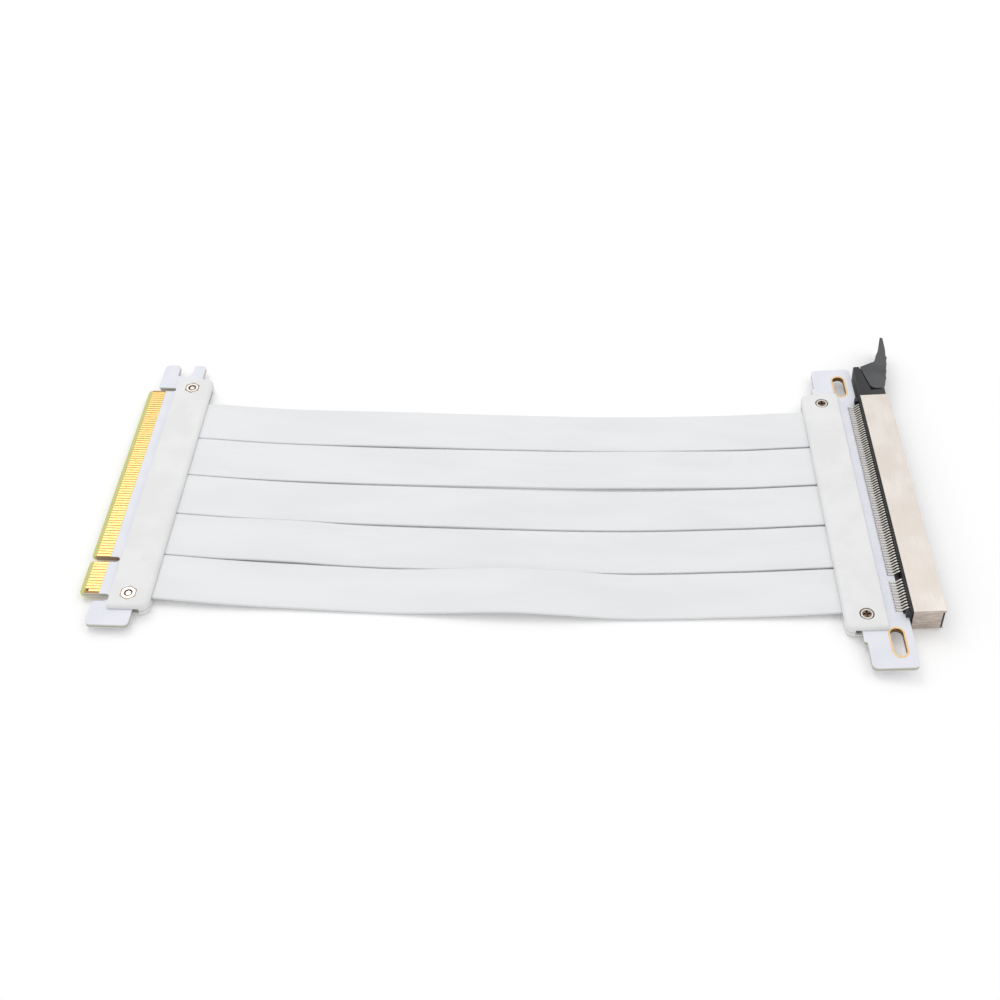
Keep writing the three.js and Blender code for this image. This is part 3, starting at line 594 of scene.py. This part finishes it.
def softened(name, material, width, segments=2, body="cable", angle=40):
    """A copy of a CAD node with its doubles merged and its edges rounded."""
    form = bmesh.new()
    form.from_mesh(nodes[name].data)
    bmesh.ops.remove_doubles(form, verts=form.verts, dist=0.002 * MM)
    bmesh.ops.dissolve_limit(form, angle_limit=math.radians(1), verts=form.verts, edges=form.edges)
    piece = finished(f"{name}_rounded", form, Matrix.Identity(4), material, body)
    rounding = piece.modifiers.new("rounded_edges", "BEVEL")
    rounding.width = width * MM
    rounding.segments = segments
    rounding.limit_method = "ANGLE"
    rounding.angle_limit = math.radians(angle)
    rounding.harden_normals = True
    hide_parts(name)


# Camera, light and floor

CAMERA_SPOT = Vector((124.30, -257.25, 271.55))
CAMERA_AZIMUTH = math.radians(1.764)
CAMERA_DROP = math.radians(46.47)
CAMERA_ROLL = math.radians(0.336)
FOCAL_PIXELS = 1233.5
FRAME_PIXELS = 1000


def make_camera():
    camera = bpy.data.cameras.new("camera")
    camera.sensor_width = 36
    camera.lens = FOCAL_PIXELS / FRAME_PIXELS * camera.sensor_width
    camera.clip_start = 0.01
    holder = bpy.data.objects.new("camera", camera)
    bpy.context.scene.collection.objects.link(holder)
    turn = (
        Matrix.Rotation(CAMERA_AZIMUTH, 4, "Z")
        @ Matrix.Rotation(math.pi / 2 - CAMERA_DROP, 4, "X")
        @ Matrix.Rotation(CAMERA_ROLL, 4, "Z")
    )
    holder.matrix_world = Matrix.Translation(TABLE @ CAMERA_SPOT) @ turn
    bpy.context.scene.camera = holder


def make_lamp(name, spot, aim, size, power):
    lamp = bpy.data.lights.new(name, "AREA")
    lamp.shape = "DISK"
    lamp.size = size
    lamp.energy = power
    holder = bpy.data.objects.new(name, lamp)
    bpy.context.scene.collection.objects.link(holder)
    facing = (Vector(aim) - Vector(spot)).to_track_quat("-Z", "Y")
    holder.matrix_world = Matrix.Translation(spot) @ facing.to_matrix().to_4x4()


def make_floor():
    """A pale floor that shows as white paper and keeps a soft shadow."""
    form = bmesh.new()
    bmesh.ops.create_grid(form, x_segments=1, y_segments=1, size=4.0)
    mesh = bpy.data.meshes.new("floor")
    form.to_mesh(mesh)
    form.free()
    floor = bpy.data.objects.new("floor", mesh)
    bpy.context.scene.collection.objects.link(floor)
    finish = Finish("floor_paper", paint(249, 249, 249), 0.9)
    seen = finish.add("ShaderNodeLightPath", {}, out="Is Camera Ray")
    mirrored = finish.add("ShaderNodeLightPath", {}, out="Is Glossy Ray")
    shown = finish.add("ShaderNodeMath", {"operation": "MAXIMUM"}, seen, mirrored)
    glow = finish.add("ShaderNodeEmission", {}, (1, 1, 1, 1), shown * 0.1)
    paper = Wire(finish, finish.surface.outputs["BSDF"])
    lit = finish.add("ShaderNodeAddShader", {}, paper, glow)
    finish.feed(finish.nodes["Material Output"].inputs["Surface"], lit)
    mesh.materials.append(finish.material)


def make_world():
    world = bpy.data.worlds.new("studio")
    bpy.context.scene.world = world
    world.use_nodes = True
    tree = world.node_tree
    background = tree.nodes["Background"]
    background.inputs["Color"].default_value = (1, 1, 1, 1)
    path = tree.nodes.new("ShaderNodeLightPath")
    shown = tree.nodes.new("ShaderNodeMath")
    shown.operation = "MAXIMUM"
    tree.links.new(path.outputs["Is Camera Ray"], shown.inputs[0])
    tree.links.new(path.outputs["Is Glossy Ray"], shown.inputs[1])
    strength = tree.nodes.new("ShaderNodeMapRange")
    strength.inputs["To Min"].default_value = 0.78
    strength.inputs["To Max"].default_value = 1.0
    tree.links.new(shown.outputs[0], strength.inputs["Value"])
    tree.links.new(strength.outputs["Result"], background.inputs["Strength"])


make_camera()
jacket = ribbon_finish()
for number in range(RIBBON_COUNT):
    make_ribbon(number, jacket)

make_floor()
make_world()
make_lamp("key_light", (-0.35, 0.45, 0.95), (0, 0, 0), 0.7, 2.2)
make_lamp("fill_light", (0.6, 0.1, 0.9), (0, 0, 0), 0.8, 0.9)

plug_cover = moulding_finish(
    "plug_cover_moulding", paint(235, 236, 235), paint(230, 231, 230), 0.5, PLUG_ORIGIN, PLUG_TURN,
)
slot_cover = moulding_finish(
    "slot_cover_moulding", paint(235, 236, 235), paint(230, 231, 230), 0.5, SLOT_ORIGIN, SLOT_TURN,
)
black = moulding_finish("black_moulding", paint(30, 30, 33), paint(24, 24, 27), 0.5, SLOT_ORIGIN, SLOT_TURN)
latch_grey = moulding_finish(
    "latch_moulding", paint(76, 77, 80), paint(62, 63, 66), 0.5, SLOT_ORIGIN, SLOT_TURN, grain=0.02,
)
contact_plate = metal_finish(
    "contact_plating", paint(226, 222, 216), paint(186, 180, 170), 0.28, SLOT_ORIGIN, SLOT_TURN, scale=3.0,
)
copper = metal_finish("tinned_copper", paint(214, 150, 96), paint(190, 128, 80), 0.4, SLOT_ORIGIN, SLOT_TURN, scale=3.0)

dress(["male_board"], plug_board_finish())
dress(["slot_board"], slot_board_finish())
for half in ("top", "bottom"):
    softened(f"male_cover_{half}", plug_cover, 0.22)
    softened(f"slot_cover_{half}", slot_cover, 0.22)
softened("slot_housing", black, 0.1)
softened("slot_latch", latch_grey, 0.3, segments=3, body="latch")
softened("slot_shell", shell_finish(), 0.08)
for side, level in (("upper", 1), ("lower", -1)):
    contact_row(f"{side}_leads", LEAD_LINE, 0, level, contact_plate, f"contacts_{side}")
    contact_row(f"{side}_springs", SPRING_LINE, MOUTH, level, contact_plate)
dress(["latch_pin"], contact_plate)
ends = (
    ("male", PLUG_ORIGIN, PLUG_TURN, PLUG_EXIT - SCREW_SETBACK),
    ("slot", SLOT_ORIGIN, SLOT_TURN, SLOT_COVER_REAR + SCREW_SETBACK),
)
for end, origin, turn, screw_x in ends:
    nickel = fastener_finish(f"{end}_nickel", origin, turn, screw_x)
    dress([f"{end}_{kind}_{place}" for kind in ("screw", "nut") for place in ("near", "far")], nickel)
    dress([f"{end}_tails_{i + 1}" for i in range(RIBBON_COUNT)], copper)

bpy.context.scene.view_settings.view_transform = "Standard"
